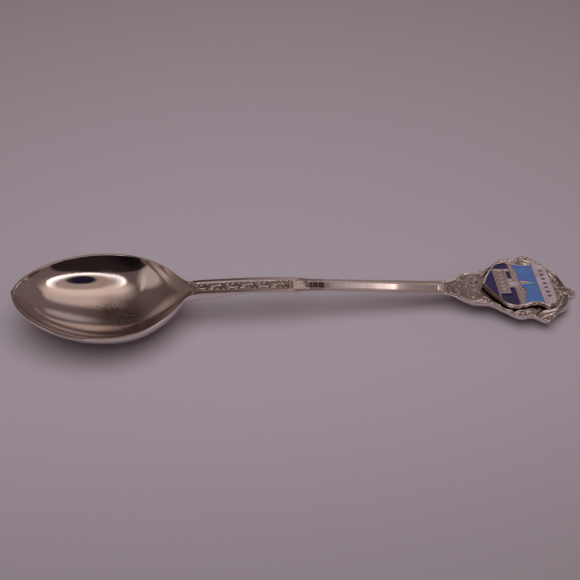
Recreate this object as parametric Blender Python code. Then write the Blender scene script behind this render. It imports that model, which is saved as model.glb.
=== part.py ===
"""A souvenir spoon: one struck metal spoon with an enamelled crest soldered to its finial.

Frame: +X runs from the bowl's tip to the finial's tip, +Z is up, and the spoon lies on z = 0 with
the middle of its length at x = 0. Lengths below are in millimetres, and meshes are made in metres.
"""

import math

import bmesh
import bpy
import numpy as np

MM = 0.001

# Spoon, along its length
LENGTH = 114.0
HALF = LENGTH / 2
BOWL_WIDE_X = -39.7
BOWL_HALF_WIDTH = 11.9
BOWL_NECK_X = -21.9
BOWL_DEPTH = 7.25
BOWL_WALL = 1.35  # thick enough for the belly to sink under z = 0, where it is cut to a flat
FULLNESS = 0.9  # under 1, the bowl keeps its depth closer to its two ends
RIM_WIDTH = 0.55
RIM_DROP = 0.2
TIP_POWERS = (1.9, 0.59)
NECK_POWERS = (2.5, 1.03)
SECTION_ARC = 1.12  # radius of the bowl's round section over its half width
TIP_ROUND = (0.7, 1.0)  # over this share of the way to the tip, the inside follows the same round section
NECK_BLEND = (-26.5, -20.5)
ORNAMENT = (-22.0, -3.1)
SHELL_END_X = 0.9
STEM_END_X = 29.5
FINIAL_X = 32.5
FINIAL_END_X = 53.5

# Height of the top face along the length, as (x, z). The crest's seat is the straight run.
SPINE = [
    (-57.0, 10.3), (-50.5, 9.3), (-40.5, 8.25), (-32.5, 7.75), (-26.0, 7.85), (-20.5, 8.75), (-12.5, 8.65),
    (-5.5, 8.3), (0.5, 7.75), (9.5, 6.85), (18.5, 5.85), (27.5, 4.8), (31.0, 4.5), (35.5, 4.15),
    (37.5, 3.9), (38.5, 3.826), (50.3, 2.953), (51.3, 2.879), (53.8, 1.9), (57.0, 0.8),
]
# Half width of the stem and the finial along the length, as (x, half width)
EDGE = [
    (-22.5, 2.05), (-14.5, 2.08), (-6.5, 2.16), (-2.0, 2.2), (0.1, 1.85), (3.5, 1.66), (11.5, 1.66),
    (21.5, 1.8), (27.5, 1.95), (29.5, 2.25), (31.5, 3.0), (34.5, 4.5), (37.2, 4.65), (39.5, 6.15),
    (43.2, 8.45), (45.2, 8.15), (47.9, 9.6), (49.7, 8.2), (51.2, 6.9), (52.6, 6.0), (53.7, 4.7),
    (54.4, 3.0), (54.9, 1.5), (55.8, 1.1), (56.5, 0.8), (57.0, 0.0),
]
STEM_SIDE = 0.4
NECK_SIDE = 1.9
NECK_SIDE_END_X = -9.0
STEM_BELLY = 0.95
STEM_CHANNEL = 0.2
ORNAMENT_CHANNEL = 0.3
LEAF_PITCH = 3.1
FINIAL_SIDE = 1.05
FINIAL_BORDER = 0.35
BEAD_PITCH = 1.5

# Crest, in its own plane: u runs from its point to its top, v across it
CREST_X = 36.75
CREST_Z = 5.18
CREST_PITCH = math.radians(4.23)
CREST_LENGTH = 14.7
CREST_THICKNESS = 0.95
CREST_RIM = 0.42
CELL_DEPTH = 0.4
CELL_GAP = 0.04
ENAMEL_BELOW_RIM = 0.05
SOLDER_SCALE = 0.62
SOLDER_THICKNESS = 0.2
SOLDER_GAP = 0.04
HORIZON_U = 6.2
BANNER_U = 11.7
CLOISON = 0.3
LOZENGES = 7
LOZENGE_ROW = 7.2
LOZENGE_TALL = 1.4
LOZENGE_WIDE = 0.68
SPIRE_U = 10.7
SPIRE_V = 0.2

POLISHED = ((0.62, 0.58, 0.56), 0.16, 1.0)
OXIDISED = ((0.45, 0.41, 0.38), 0.4, 1.0)
NAVY = ((0.008, 0.006, 0.11), 0.12, 0.0)
SKY = ((0.07, 0.2, 0.55), 0.12, 0.0)
WHITE = ((0.75, 0.72, 0.75), 0.18, 0.0)


def smoothstep(low, high, x):
    t = np.clip((x - low) / (high - low), 0.0, 1.0)
    return t * t * (3.0 - 2.0 * t)


def window(start, end, fade, x):
    """1 between start and end, fading to 0 over the first and last stretch."""
    return smoothstep(start, start + fade, x) * (1 - smoothstep(end - fade, end, x))


def curve_through(points, x):
    """A smooth curve through the points that never overshoots them."""
    px, py = np.array(points, float).T
    step = np.diff(px)
    secant = np.diff(py) / step
    slope = np.zeros(len(px))
    same_way = secant[:-1] * secant[1:] > 0
    weight_a = 2 * step[1:] + step[:-1]
    weight_b = step[1:] + 2 * step[:-1]
    a = np.where(same_way, secant[:-1], 1.0)
    b = np.where(same_way, secant[1:], 1.0)
    slope[1:-1] = np.where(same_way, (weight_a + weight_b) / (weight_a / a + weight_b / b), 0.0)
    slope[0], slope[-1] = secant[0], secant[-1]
    i = np.clip(np.searchsorted(px, x) - 1, 0, len(step) - 1)
    t = np.clip((x - px[i]) / step[i], 0.0, 1.0)
    rise = py[i] + step[i] * slope[i] * t * (1 - t) ** 2 - step[i] * slope[i + 1] * t**2 * (1 - t)
    return rise + (py[i + 1] - py[i]) * t * t * (3 - 2 * t)


def bowl_half_width(x):
    """The bowl alone: an egg, fuller towards the neck."""
    to_tip = np.clip((BOWL_WIDE_X - x) / (BOWL_WIDE_X + HALF), 0.0, 1.0)
    to_neck = np.clip((x - BOWL_WIDE_X) / (BOWL_NECK_X - BOWL_WIDE_X), 0.0, 1.0)
    power, root = TIP_POWERS
    tip_side = (1 - to_tip**power) ** root
    power, root = NECK_POWERS
    neck_side = (1 - to_neck**power) ** root
    return BOWL_HALF_WIDTH * np.where(x < BOWL_WIDE_X, tip_side, neck_side)


def half_width(x):
    stem = curve_through(EDGE, x) * smoothstep(-34.0, -26.0, x)
    return (bowl_half_width(x) ** 4 + stem**4) ** 0.25


def relief(x, v):
    """Height of the struck ornament over the top face, at v from -1 to 1 across it."""
    edge = smoothstep(0.45, 0.6, np.abs(v))
    in_ornament = window(ORNAMENT[0], ORNAMENT[1], 1.0, x)
    leaf = 0.5 + 0.5 * np.cos(2 * np.pi * (x / LEAF_PITCH + 0.5 * (v > 0)))
    across_leaf = np.sin(np.pi * np.clip(np.abs(v) / 0.55, 0, 1))
    ornament = -ORNAMENT_CHANNEL * (1 - edge) * (1 - 0.9 * leaf * across_leaf)
    in_stem = window(SHELL_END_X - 0.5, STEM_END_X, 1.0, x)
    in_finial = window(FINIAL_X, HALF, 2.5, x)
    bead = 0.6 + 0.4 * np.cos(2 * np.pi * x / BEAD_PITCH)
    border = FINIAL_BORDER * bead * smoothstep(0.8, 0.88, np.abs(v)) * (1 - smoothstep(0.93, 1.0, np.abs(v)))
    return in_ornament * ornament - in_stem * STEM_CHANNEL * (1 - edge) + in_finial * border


def bowl_section(v):
    """Depth across the bowl: an arc of a circle, 1 in the middle and 0 at the rim."""
    rise = math.sqrt(SECTION_ARC**2 - 1)
    return (np.sqrt(SECTION_ARC**2 - v * v) - rise) / (SECTION_ARC - rise)


def inside_depth(x):
    """Depth of the bowl's inside along its length. Close to the tip it follows a round section too."""
    depth = BOWL_DEPTH * (bowl_half_width(x) / BOWL_HALF_WIDTH) ** FULLNESS
    to_tip = np.clip((BOWL_WIDE_X - x) / (BOWL_WIDE_X + HALF), 0.0, 1.0)
    share = smoothstep(*TIP_ROUND, to_tip)
    return (1 - share) * depth + share * BOWL_DEPTH * bowl_section(to_tip)


def top_point(x, v):
    in_bowl = 1 - smoothstep(*NECK_BLEND, x)
    rim = RIM_WIDTH * in_bowl * half_width(x) / BOWL_HALF_WIDTH
    toward_middle = RIM_WIDTH * np.clip((BOWL_WIDE_X - x) / (BOWL_WIDE_X + HALF), 0, 1)
    z = curve_through(SPINE, x) - inside_depth(x) * bowl_section(v)
    return x + toward_middle, (half_width(x) - rim) * v, z + relief(x, v)


def bottom_point(x, v):
    in_bowl = 1 - smoothstep(*NECK_BLEND, x)
    in_finial = smoothstep(STEM_END_X, FINIAL_X, x)
    top = curve_through(SPINE, x)
    wall = BOWL_WALL * smoothstep(0.0, 3.0, half_width(x))
    depth = BOWL_DEPTH * (bowl_half_width(x) / BOWL_HALF_WIDTH) ** FULLNESS + wall - RIM_DROP
    bowl = top - RIM_DROP * smoothstep(0.0, 1.0, half_width(x)) - depth * bowl_section(v)
    belly = STEM_BELLY * (1 - v * v) * (1 - in_finial)
    side = STEM_SIDE + (FINIAL_SIDE - STEM_SIDE) * in_finial
    side += (NECK_SIDE - STEM_SIDE) * (1 - smoothstep(BOWL_NECK_X, NECK_SIDE_END_X, x))
    narrow = 1 - 0.12 * (1 - in_bowl) * (1 - 0.7 * in_finial)
    z = in_bowl * bowl + (1 - in_bowl) * (top - side - belly)
    return x, half_width(x) * narrow * v, np.maximum(z, 0.0)


def stations():
    """Places along the length: close together where the outline or the ornament turns quickly."""
    tip = BOWL_WIDE_X - (BOWL_WIDE_X + HALF) * np.cos(np.linspace(0, math.pi / 2, 15))
    runs = [
        tip,
        np.linspace(BOWL_WIDE_X, NECK_BLEND[0], 10)[1:],
        np.linspace(NECK_BLEND[0], ORNAMENT[0], 9)[1:],
        np.linspace(ORNAMENT[0], ORNAMENT[1], 26)[1:],
        np.linspace(ORNAMENT[1], SHELL_END_X, 7)[1:],
        np.linspace(SHELL_END_X, STEM_END_X, 15)[1:],
        np.linspace(STEM_END_X, FINIAL_END_X, 41)[1:],
        np.linspace(FINIAL_END_X, HALF, 11)[1:],
    ]
    return np.concatenate(runs)


def both_ways(half_across):
    return np.array([-v for v in reversed(half_across)] + [0.0] + half_across)


def grid_of(point, xs, vs):
    grid = np.empty((len(xs), len(vs), 3))
    for row, x in enumerate(xs):
        for column, v in enumerate(vs):
            grid[row, column] = point(x, v)
    return grid


def metal(name, look):
    colour, roughness, metallic = look
    material = bpy.data.materials.new(name)
    material.use_nodes = True
    shader = material.node_tree.nodes["Principled BSDF"]
    shader.inputs["Base Color"].default_value = (*colour, 1.0)
    shader.inputs["Roughness"].default_value = roughness
    shader.inputs["Metallic"].default_value = metallic
    return material


def add_object(name, mesh, look, parent=None):
    part = bpy.data.objects.new(name, mesh)
    part.parent = parent
    bpy.context.scene.collection.objects.link(part)
    if look:
        mesh.materials.append(metal(name + "_look", look))
    return part


def make_spoon():
    """Two grids, the top face and the underside, joined by the rim and the stem's side walls."""
    xs = stations()
    across_top = both_ways([0.19, 0.38, 0.55, 0.7, 0.82, 0.92, 1.0])
    across_bottom = both_ways([0.21, 0.45, 0.68, 0.86, 0.96, 1.0])
    shape = bmesh.new()
    top_verts, bottom_verts = (
        [[shape.verts.new(point * MM) for point in row] for row in grid_of(*grid)]
        for grid in ((top_point, xs, across_top), (bottom_point, xs, across_bottom))
    )
    for i in range(len(xs) - 1):
        for j in range(len(across_top) - 1):
            a, b = top_verts[i], top_verts[i + 1]
            shape.faces.new((a[j], b[j], b[j + 1], a[j + 1]))
        for j in range(len(across_bottom) - 1):
            a, b = bottom_verts[i], bottom_verts[i + 1]
            shape.faces.new((a[j + 1], b[j + 1], b[j], a[j]))
        top, next_top = top_verts[i], top_verts[i + 1]
        bottom, next_bottom = bottom_verts[i], bottom_verts[i + 1]
        shape.faces.new((top[0], bottom[0], next_bottom[0], next_top[0]))
        shape.faces.new((next_top[-1], next_bottom[-1], bottom[-1], top[-1]))
    bmesh.ops.remove_doubles(shape, verts=shape.verts, dist=1e-7)
    bmesh.ops.triangulate(shape, faces=shape.faces)
    mesh = bpy.data.meshes.new("spoon_stamping")
    shape.to_mesh(mesh)
    shape.free()
    mesh.shade_smooth()
    return add_object("spoon_stamping", mesh, POLISHED)


def crest_outline(inset=0.0):
    """The shield: pointed foot, full flanks, drawn-in waist, ears and a straight top with cut corners."""
    half = [
        (0.0, 0.0), (1.0, 1.95), (2.5, 4.3), (4.0, 5.85), (5.6, 6.35), (7.4, 6.0), (9.1, 5.45), (10.6, 5.45),
        (11.9, 6.2), (12.4, 6.4), (13.0, 5.85), (14.6, 4.55), (CREST_LENGTH, 4.0),
    ]
    outline = half + [(u, -v) for u, v in reversed(half[1:])]
    return offset(outline, -inset)


def offset(outline, distance):
    """The closed outline moved outward by distance, or inward where it is negative."""
    points = np.array(outline, float)
    ahead = np.roll(points, -1, axis=0) - points
    ahead /= np.linalg.norm(ahead, axis=1)[:, None]
    behind = np.roll(ahead, 1, axis=0)
    turn_area = np.sum(points[:, 0] * np.roll(points[:, 1], -1) - points[:, 1] * np.roll(points[:, 0], -1))
    side = 1.0 if turn_area > 0 else -1.0
    normal_a = side * np.stack([ahead[:, 1], -ahead[:, 0]], axis=1)
    normal_b = side * np.stack([behind[:, 1], -behind[:, 0]], axis=1)
    middle = normal_a + normal_b
    middle /= np.sum(middle * normal_a, axis=1)[:, None]
    return [tuple(p) for p in points + distance * middle]


def prism(name, outline, low, high, look=None, parent=None):
    """An upright prism between two heights over the crest's top face. Without a look it is a cutter."""
    shape = bmesh.new()
    base = shape.faces.new([shape.verts.new((u * MM, v * MM, low * MM)) for u, v in outline])
    raised = bmesh.ops.extrude_face_region(shape, geom=[base])["geom"]
    top = [part for part in raised if isinstance(part, bmesh.types.BMVert)]
    bmesh.ops.translate(shape, vec=(0, 0, (high - low) * MM), verts=top)
    bmesh.ops.recalc_face_normals(shape, faces=shape.faces)
    mesh = bpy.data.meshes.new(name)
    shape.to_mesh(mesh)
    shape.free()
    part = add_object(name, mesh, look, parent)
    if not look:
        part.hide_render = True
        part.display_type = "WIRE"
    return part


def boolean(part, cutter, operation):
    modifier = part.modifiers.new(operation + "_" + cutter.name, "BOOLEAN")
    modifier.object = cutter
    modifier.operation = operation
    modifier.solver = "EXACT"


def skyline():
    """The top of the metal hills, with a spire in the middle, as (u, v) from the far side to the near."""
    hills = [(7.2, 7.5), (7.6, 4.2), (8.0, 2.2), (7.8, 1.1)]
    spire = [(8.0, 0.75), (SPIRE_U, SPIRE_V), (8.0, -0.45)]
    dome = [(8.2, -1.0), (8.9, -1.9), (8.3, -3.2), (7.2, -7.5)]
    return hills + spire + dome


def cells():
    """Each enamel cell's outline before the rim trims it, and its colour."""
    far, near, past_top = 7.5, -7.5, CREST_LENGTH + 1
    top, spire_near = BANNER_U - CLOISON, SPIRE_V - CLOISON
    block_near = -2.9
    hills = skyline()
    spire_tip = hills.index((SPIRE_U, SPIRE_V))
    return {
        "enamel_field_foot": ([(-1, near), (-1, far), (2.65, far), (2.65, near)], NAVY),
        "enamel_field_far": ([(2.95, far), (2.95, 4.2), (HORIZON_U, 4.2), (HORIZON_U, far)], NAVY),
        "enamel_field_court": ([(5.5, 3.35), (5.5, 1.3), (HORIZON_U, 1.3), (HORIZON_U, 3.35)], NAVY),
        "enamel_field_near": (
            [(5.3, -1.2), (5.3, block_near), (2.95, block_near), (2.95, near), (HORIZON_U, near),
             (HORIZON_U, -1.2)],
            NAVY,
        ),
        "enamel_tower": ([(5.45, 0.35), (5.45, -0.75), (7.2, -0.75), (7.2, 0.35)], WHITE),
        "enamel_sky_far": ([(top, far)] + hills[: spire_tip + 1] + [(top, SPIRE_V)], SKY),
        "enamel_sky_near": (
            [(top, spire_near), (SPIRE_U, spire_near)] + hills[spire_tip + 1:] + [(top, near)], SKY
        ),
        "enamel_banner": ([(BANNER_U, far), (BANNER_U, near), (past_top, near), (past_top, far)], WHITE),
    }


def banner_lozenges(grow=0.0):
    """A row of plain lozenges standing in the banner."""
    tall, wide = LOZENGE_TALL / 2 + grow, LOZENGE_WIDE / 2 + grow
    middle = (BANNER_U + CREST_LENGTH - CREST_RIM) / 2
    for v in np.linspace(-LOZENGE_ROW / 2, LOZENGE_ROW / 2, LOZENGES):
        yield [(middle - tall, v), (middle, v - wide), (middle + tall, v), (middle, v + wide)]


def make_crest(frame):
    """The metal pan with a pocket for each enamel, then the enamels in their pockets."""
    pan = prism("crest_shield", crest_outline(), -CREST_THICKNESS, 0.0, POLISHED, frame)
    for name, (outline, look) in cells().items():
        pocket = prism("pocket_" + name, outline, -CELL_DEPTH, 1.0, None, frame)
        wall = prism("wall_" + name, crest_outline(CREST_RIM), -2.0, 0.8, None, frame)
        boolean(pocket, wall, "INTERSECT")
        fill = prism(name, offset(outline, -CELL_GAP), CELL_GAP - CELL_DEPTH, -ENAMEL_BELOW_RIM, look, frame)
        fill_wall = prism("fill_wall_" + name, crest_outline(CREST_RIM + CELL_GAP), -2.0, 0.8, None, frame)
        boolean(fill, fill_wall, "INTERSECT")
        if name == "enamel_banner":
            for number, lozenge in enumerate(banner_lozenges()):
                boolean(pocket, prism(f"lozenge_{number}", lozenge, -2.0, 2.0, None, frame), "DIFFERENCE")
            for number, lozenge in enumerate(banner_lozenges(CELL_GAP)):
                boolean(fill, prism(f"lozenge_hole_{number}", lozenge, -2.0, 2.0, None, frame), "DIFFERENCE")
        boolean(pan, pocket, "DIFFERENCE")


def make_solder(frame):
    """The flat pad of solder between the crest's back and the finial's seat."""
    middle = CREST_LENGTH / 2
    outline = [(middle + (u - middle) * SOLDER_SCALE, v * SOLDER_SCALE) for u, v in crest_outline()]
    top = -CREST_THICKNESS - SOLDER_GAP
    prism("crest_solder", outline, top - SOLDER_THICKNESS, top, OXIDISED, frame)


def main():
    for leftover in list(bpy.data.objects):
        bpy.data.objects.remove(leftover)
    make_spoon()
    frame = bpy.data.objects.new("crest_frame", None)
    frame.location = (CREST_X * MM, 0.0, CREST_Z * MM)
    frame.rotation_euler = (0.0, CREST_PITCH, 0.0)
    bpy.context.scene.collection.objects.link(frame)
    make_crest(frame)
    make_solder(frame)


main()
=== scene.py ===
"""The looks of the souvenir spoon: the struck metal with its fine ornament, the crest and its enamels.

Shapes are worked out in millimetres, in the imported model's frame: +X from the bowl's tip to the
finial's tip, +Z up, z = 0 where the spoon lies. Meshes are made in metres.
"""

import math

import bmesh
import bpy
import numpy as np
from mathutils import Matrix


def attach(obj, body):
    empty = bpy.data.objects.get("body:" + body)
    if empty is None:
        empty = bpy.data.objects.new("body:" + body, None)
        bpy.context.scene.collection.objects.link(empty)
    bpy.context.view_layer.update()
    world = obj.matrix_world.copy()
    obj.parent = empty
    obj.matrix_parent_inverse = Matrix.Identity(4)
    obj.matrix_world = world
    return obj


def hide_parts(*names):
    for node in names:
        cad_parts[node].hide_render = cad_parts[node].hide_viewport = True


MM = 0.001

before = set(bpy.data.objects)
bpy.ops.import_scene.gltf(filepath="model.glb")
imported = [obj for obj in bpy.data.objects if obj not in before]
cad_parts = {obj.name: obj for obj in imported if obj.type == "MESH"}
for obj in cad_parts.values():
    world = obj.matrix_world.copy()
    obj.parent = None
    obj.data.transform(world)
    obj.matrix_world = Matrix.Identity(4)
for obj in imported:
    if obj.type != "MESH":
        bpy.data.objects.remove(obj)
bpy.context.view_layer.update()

# ---- the spoon's form, as in the CAD
HALF = 57.0
BOWL_WIDE_X = -39.7
BOWL_HALF_WIDTH = 11.9
BOWL_NECK_X = -21.9
BOWL_DEPTH = 7.25
BOWL_WALL = 1.35
FULLNESS = 0.9
RIM_WIDTH = 0.55
RIM_DROP = 0.28
RIM_ARCH = 0.05
EDGE_ROUND = 0.16
TIP_POWERS = (1.9, 0.59)
NECK_POWERS = (2.5, 1.03)
SECTION_ARC = 1.12
TIP_ROUND = (0.7, 1.0)
NECK_BLEND = (-26.5, -20.5)
ORNAMENT_X = -22.0
SHELL_END_X = 0.9
STEM_END_X = 29.5
FINIAL_X = 32.5
STEM_SIDE = 0.4
NECK_SIDE = 1.9
NECK_SIDE_END_X = -9.0
STEM_BELLY = 0.95
FINIAL_SIDE = 1.05
UNDER_INSET = 0.12  # how far the stem's underside is narrower than its top, as a share

# Height of the top face along the length, as (x, z)
SPINE = [
    (-57.0, 10.3), (-50.5, 9.3), (-40.5, 8.25), (-32.5, 7.75), (-26.0, 7.85), (-20.5, 8.75), (-12.5, 8.65),
    (-5.5, 8.3), (0.5, 7.75), (9.5, 6.85), (18.5, 5.85), (27.5, 4.8), (31.0, 4.5), (35.5, 4.15),
    (37.5, 3.9), (38.5, 3.826), (50.3, 2.953), (51.3, 2.879), (53.8, 1.9), (57.0, 0.8),
]
# Half width of the stem and the finial along the length, as (x, half width)
EDGE = [
    (-22.5, 2.05), (-14.5, 2.08), (-6.5, 2.16), (-2.0, 2.2), (0.1, 1.85), (3.5, 1.66), (11.5, 1.66),
    (21.5, 1.8), (27.5, 1.95), (29.5, 2.25), (31.5, 3.0), (34.5, 4.5), (37.2, 4.65), (39.5, 6.15),
    (43.2, 8.45), (45.2, 8.15), (47.9, 9.6), (49.7, 8.2), (51.2, 6.9), (52.6, 6.0), (53.7, 4.7),
    (54.4, 3.0), (54.9, 1.5), (55.8, 1.1), (56.5, 0.8), (57.0, 0.0),
]

# How finely the meshes are divided: columns across each stretch, and steps round the rim
BOWL_COLUMNS = 96
STEM_COLUMNS = 48
FINIAL_COLUMNS = 144
UNDER_COLUMNS = 16
RIM_STEPS = 6
CREASE_V = 0.994  # the outermost columns stand close together, to keep the rim's inner edge crisp
FINE_X = 27.5  # from here on the finial's own columns are used

# Ornament of the stem and the finial
FIELD_HALF = 1.08
FIELD_SINK = 0.2
LEAF_PITCH = 3.1
VINE_SWING = 0.36
CHANNEL_HALF = 0.82
CHANNEL_SINK = 0.16
CHANNEL_LEAN = math.tan(math.radians(6.0))
STROKE_SCALE = 1.15
FINIAL_SINK = 0.16
PIT_DEPTH = 0.3

# The nick that the engraver's tool left along the foot of each stroke
NICK_DEPTH = 0.09
NICK_OUT = 0.09


def smoothstep(low, high, x):
    t = np.clip((x - low) / (high - low), 0.0, 1.0)
    return t * t * (3.0 - 2.0 * t)


def window(start, end, fade, x):
    """1 between start and end, fading to 0 over the first and last stretch."""
    return smoothstep(start, start + fade, x) * (1 - smoothstep(end - fade, end, x))


def curve_through(points, x):
    """A smooth curve through the points that never overshoots them."""
    px, py = np.array(points, float).T
    step = np.diff(px)
    secant = np.diff(py) / step
    slope = np.zeros(len(px))
    same_way = secant[:-1] * secant[1:] > 0
    weight_a = 2 * step[1:] + step[:-1]
    weight_b = step[1:] + 2 * step[:-1]
    a = np.where(same_way, secant[:-1], 1.0)
    b = np.where(same_way, secant[1:], 1.0)
    slope[1:-1] = np.where(same_way, (weight_a + weight_b) / (weight_a / a + weight_b / b), 0.0)
    slope[0], slope[-1] = secant[0], secant[-1]
    i = np.clip(np.searchsorted(px, x) - 1, 0, len(step) - 1)
    t = np.clip((x - px[i]) / step[i], 0.0, 1.0)
    rise = py[i] + step[i] * slope[i] * t * (1 - t) ** 2 - step[i] * slope[i + 1] * t**2 * (1 - t)
    return rise + (py[i + 1] - py[i]) * t * t * (3 - 2 * t)


def bowl_half_width(x):
    """The bowl alone: an egg, fuller towards the neck."""
    to_tip = np.clip((BOWL_WIDE_X - x) / (BOWL_WIDE_X + HALF), 0.0, 1.0)
    to_neck = np.clip((x - BOWL_WIDE_X) / (BOWL_NECK_X - BOWL_WIDE_X), 0.0, 1.0)
    power, root = TIP_POWERS
    tip_side = (1 - to_tip**power) ** root
    power, root = NECK_POWERS
    neck_side = (1 - to_neck**power) ** root
    return BOWL_HALF_WIDTH * np.where(x < BOWL_WIDE_X, tip_side, neck_side)


def half_width(x):
    stem = curve_through(EDGE, x) * smoothstep(-34.0, -26.0, x)
    return (bowl_half_width(x) ** 4 + stem**4) ** 0.25


def bowl_section(v):
    """Depth across the bowl: an arc of a circle, 1 in the middle and 0 at the rim."""
    rise = math.sqrt(SECTION_ARC**2 - 1)
    return (np.sqrt(SECTION_ARC**2 - v * v) - rise) / (SECTION_ARC - rise)


def bowl_depth(x):
    return BOWL_DEPTH * (bowl_half_width(x) / BOWL_HALF_WIDTH) ** FULLNESS


def inside_depth(x):
    """Depth of the bowl's inside along its length. Close to the tip it follows a round section too."""
    to_tip = np.clip((BOWL_WIDE_X - x) / (BOWL_WIDE_X + HALF), 0.0, 1.0)
    share = smoothstep(*TIP_ROUND, to_tip)
    return (1 - share) * bowl_depth(x) + share * BOWL_DEPTH * bowl_section(to_tip)


def in_bowl(x):
    return 1 - smoothstep(*NECK_BLEND, x)


def rim_inset(x):
    """How far the top face stops short of the outline, for the rounded edge."""
    bowl = RIM_WIDTH * half_width(x) / BOWL_HALF_WIDTH
    stem = np.minimum(EDGE_ROUND, 0.5 * half_width(x))
    return in_bowl(x) * bowl + (1 - in_bowl(x)) * stem


# ---- lines and bumps of the relief
def smooth_line(points, steps=8):
    """A line through the points, rounded like a hand-drawn stroke."""
    p = np.array(points, float)
    if len(p) < 3:
        return p
    padded = np.vstack([2 * p[0] - p[1], p, 2 * p[-1] - p[-2]])
    line = []
    for a, b, c, d in zip(padded, padded[1:], padded[2:], padded[3:]):
        for t in np.linspace(0, 1, steps, endpoint=False):
            line.append(0.5 * (2 * b + (c - a) * t + (2 * a - 5 * b + 4 * c - d) * t**2
                               + (3 * b - a - 3 * c + d) * t**3))
    return np.array(line + [p[-1]])


def near_line(x, y, line):
    """Distance from each place to the line, and how far along it the nearest point is, from 0 to 1."""
    best = np.full(x.shape, 1e9)
    along = np.zeros(x.shape)
    lengths = np.linalg.norm(np.diff(line, axis=0), axis=1)
    starts = np.concatenate([[0.0], np.cumsum(lengths)])
    for (ax, ay), (bx, by), length, start in zip(line, line[1:], lengths, starts):
        dx, dy = bx - ax, by - ay
        t = np.clip(((x - ax) * dx + (y - ay) * dy) / max(length**2, 1e-12), 0, 1)
        distance = np.hypot(x - ax - t * dx, y - ay - t * dy)
        closer = distance < best
        best = np.where(closer, distance, best)
        along = np.where(closer, (start + t * length) / starts[-1], along)
    return best, along


def cut(away):
    """The chiselled section of a stroke: flat sides that meet in a slightly rounded back."""
    return np.clip(1.08 - np.sqrt(away**2 + 0.0256), 0, 1)


def ridge(x, y, points, width, height, taper=0.0):
    """A chiselled ridge along a stroke, narrowed towards its ends by taper, and the nick along its foot."""
    distance, along = near_line(x, y, smooth_line(points))
    here = width * (1 - taper * np.abs(2 * along - 1) ** 1.5)
    nick = NICK_DEPTH * np.exp(-(((distance - here - NICK_OUT) / NICK_OUT) ** 2))
    return height * cut(distance / here), nick


def bead(x, y, middle, radius, height):
    distance = np.hypot(x - middle[0], y - middle[1])
    return height * np.sqrt(np.clip(1 - (distance / radius) ** 2, 0, 1))


def leaf(x, y, start, end, width, height):
    """A pointed leaf, ridged like a roof, with a groove for its midrib."""
    start, end = np.array(start, float), np.array(end, float)
    axis = end - start
    length = np.hypot(*axis)
    axis /= length
    along = ((x - start[0]) * axis[0] + (y - start[1]) * axis[1]) / length
    across = -(x - start[0]) * axis[1] + (y - start[1]) * axis[0]
    half = width / 2 * np.sin(np.pi * np.clip(along, 0, 1)) ** 0.8
    midrib = 1 - 0.4 * np.exp(-((across / (0.12 * width)) ** 2))
    return np.where((along > 0) & (along < 1), height * cut(across / np.maximum(half, 1e-6)) * midrib, 0.0)


def grain(x, y, scale, seed):
    """An even, repeatable roughness between -1 and 1."""
    total = np.zeros(np.shape(x))
    for turn in range(5):
        angle = seed + 2.4 * turn
        wave = (1.0 + 0.37 * turn) * 2 * np.pi / scale
        total += np.sin(wave * (x * math.cos(angle) + y * math.sin(angle)) + 1.7 * turn + seed)
    return total / 3.2


# ---- the stem's ornament
LEAF_HEIGHT = 0.25
# One spray of the vine, as (reach along the stem, reach across it, leaf's width or berry's radius)
SPRAY_LEAVES = [(1.5, 0.78, 0.55), (1.75, 0.12, 0.5), (1.45, -0.62, 0.55), (0.6, -0.9, 0.42)]
SPRAY_BERRIES = [(0.2, 0.72, 0.2), (-0.5, -0.7, 0.22), (-0.9, 0.62, 0.18), (1.9, -0.5, 0.16)]


def vine_point(x):
    """A point on the vine's wavy line."""
    return (x, VINE_SWING * math.sin(math.pi * x / LEAF_PITCH))


def stem_field(x, y):
    """The sunk field between the stem's two plain margins: a wavy vine with flowers, leaves and berries."""
    wall = 1 - smoothstep(FIELD_HALF - 0.1, FIELD_HALF + 0.06, np.abs(y))
    height = 0.06 * grain(x, y, 0.55, 0.4)
    vine = [vine_point(x_here) for x_here in np.arange(-23.0, -2.5, 0.5)]
    rise, nick = ridge(x, y, vine, 0.16, 0.17)
    height = np.maximum(height - nick, rise)
    for number, root_x in enumerate(np.arange(-22.4, -3.4, LEAF_PITCH)):
        side = 1 if number % 2 else -1
        for reach, rise_to, wide in SPRAY_LEAVES:
            tip = (root_x + reach, side * rise_to)
            height = np.maximum(height, leaf(x, y, vine_point(root_x), tip, wide, LEAF_HEIGHT))
        for reach, rise_to, size in SPRAY_BERRIES:
            height = np.maximum(height, bead(x, y, (root_x + reach, side * rise_to), size, size))
    line = 0.07 * np.exp(-(((np.abs(y) - FIELD_HALF - 0.04) / 0.09) ** 2))
    return wall * (height - FIELD_SINK) + line


def shell(x, y):
    """The ribbed shell that closes the ornament, opening towards the bowl."""
    hinge = (SHELL_END_X + 0.3, 0.0)
    distance = np.hypot(x - hinge[0], 1.15 * (y - hinge[1]))
    angle = np.arctan2(1.15 * (y - hinge[1]), hinge[0] - x)
    inside = (1 - smoothstep(3.4, 3.75, distance)) * (1 - smoothstep(1.02, 1.16, np.abs(y)))
    ribs = 0.5 + 0.5 * np.cos(angle * 26)
    dome = np.clip(distance / 1.8, 0, 1) ** 0.6
    return inside * (0.1 * dome + 0.13 * ribs * np.clip(distance / 1.2, 0, 1))


def channel(y):
    """The plain stem's shallow channel. Its floor leans a little towards the near side."""
    wall = 1 - smoothstep(CHANNEL_HALF - 0.06, CHANNEL_HALF + 0.08, np.abs(y))
    line = 0.05 * np.exp(-(((np.abs(y) - CHANNEL_HALF - 0.08) / 0.09) ** 2))
    return line + wall * (CHANNEL_LEAN * y - CHANNEL_SINK)


# ---- the finial's ornament
def mirrored(points):
    return [(x, -y) for x, y in points]


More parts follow.
